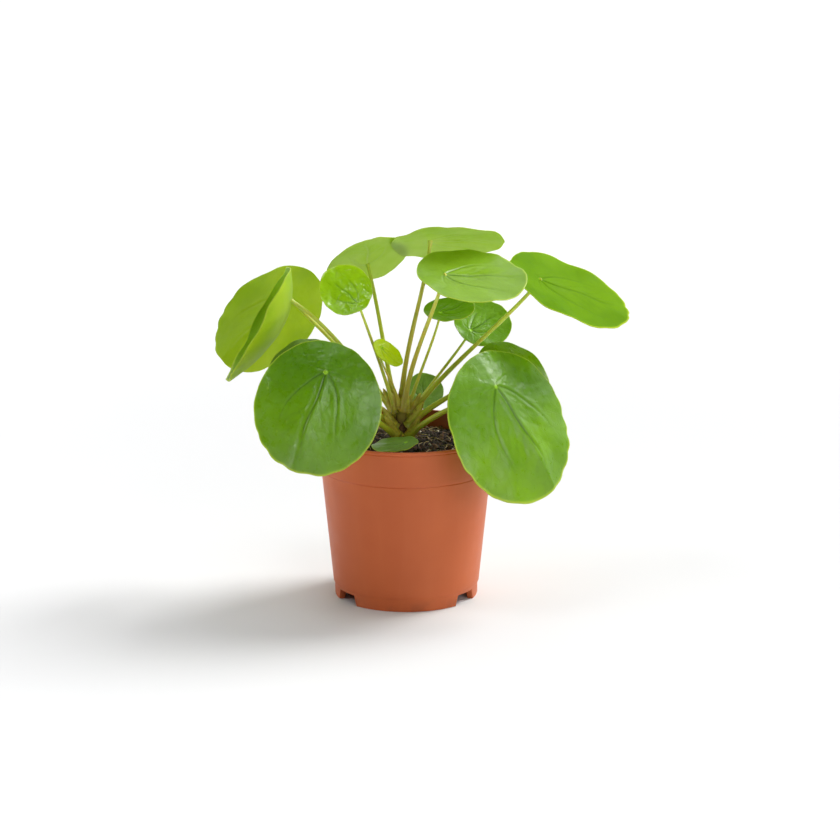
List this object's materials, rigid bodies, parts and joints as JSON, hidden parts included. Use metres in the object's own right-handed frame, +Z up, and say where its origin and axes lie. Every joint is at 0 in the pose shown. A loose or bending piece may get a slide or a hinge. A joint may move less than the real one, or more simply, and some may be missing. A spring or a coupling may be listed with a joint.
{
  "type": "potted pilea plant",
  "caption": "House plant with flat round leaves on long stalks fixed near the middle of each leaf, in a tapered plastic nursery pot filled with soil.",
  "frame": {"origin": "middle of the plant's footprint, on the surface that the pot stands on", "axes": "+Z up, +X to the plant's right as seen from the front, +Y to the back"},
  "size_m": [0.2784, 0.181, 0.249],
  "materials": {
    "pot_plastic": "satin moulded plastic",
    "soil_mix": "rough crumbs",
    "stem_bark": "knobbly and dull",
    "leaf_green": "waxy sheen",
    "petiole_green": "smooth and slightly waxy"
  },
  "bodies": {
    "root": {"pot": "pot_plastic", "soil": "soil_mix", "main_stem": "stem_bark", "leaf_back_left": "leaf_green", "leaf_folded_left": "leaf_green", "leaf_small_glossy": "leaf_green", "leaf_upper_back": "leaf_green", "leaf_top": "leaf_green", "leaf_upper_middle": "leaf_green", "leaf_right": "leaf_green", "leaf_small_behind": "leaf_green", "leaf_round_middle": "leaf_green", "leaf_youngest": "leaf_green", "leaf_front_left": "leaf_green", "leaf_behind_front_left": "leaf_green", "leaf_front_right": "leaf_green", "leaf_behind_front_right": "leaf_green", "leaf_behind_stem": "leaf_green", "leaf_low_front": "leaf_green", "petiole_back_left": "petiole_green", "petiole_folded_left": "petiole_green", "petiole_small_glossy": "petiole_green", "petiole_upper_back": "petiole_green", "petiole_top": "petiole_green", "petiole_upper_middle": "petiole_green", "petiole_right": "petiole_green", "petiole_small_behind": "petiole_green", "petiole_round_middle": "petiole_green", "petiole_youngest": "petiole_green", "petiole_front_left": "petiole_green", "petiole_behind_front_left": "petiole_green", "petiole_front_right": "petiole_green", "petiole_behind_front_right": "petiole_green", "petiole_behind_stem": "petiole_green", "petiole_low_front": "petiole_green"}
  },
  "joints": []
}
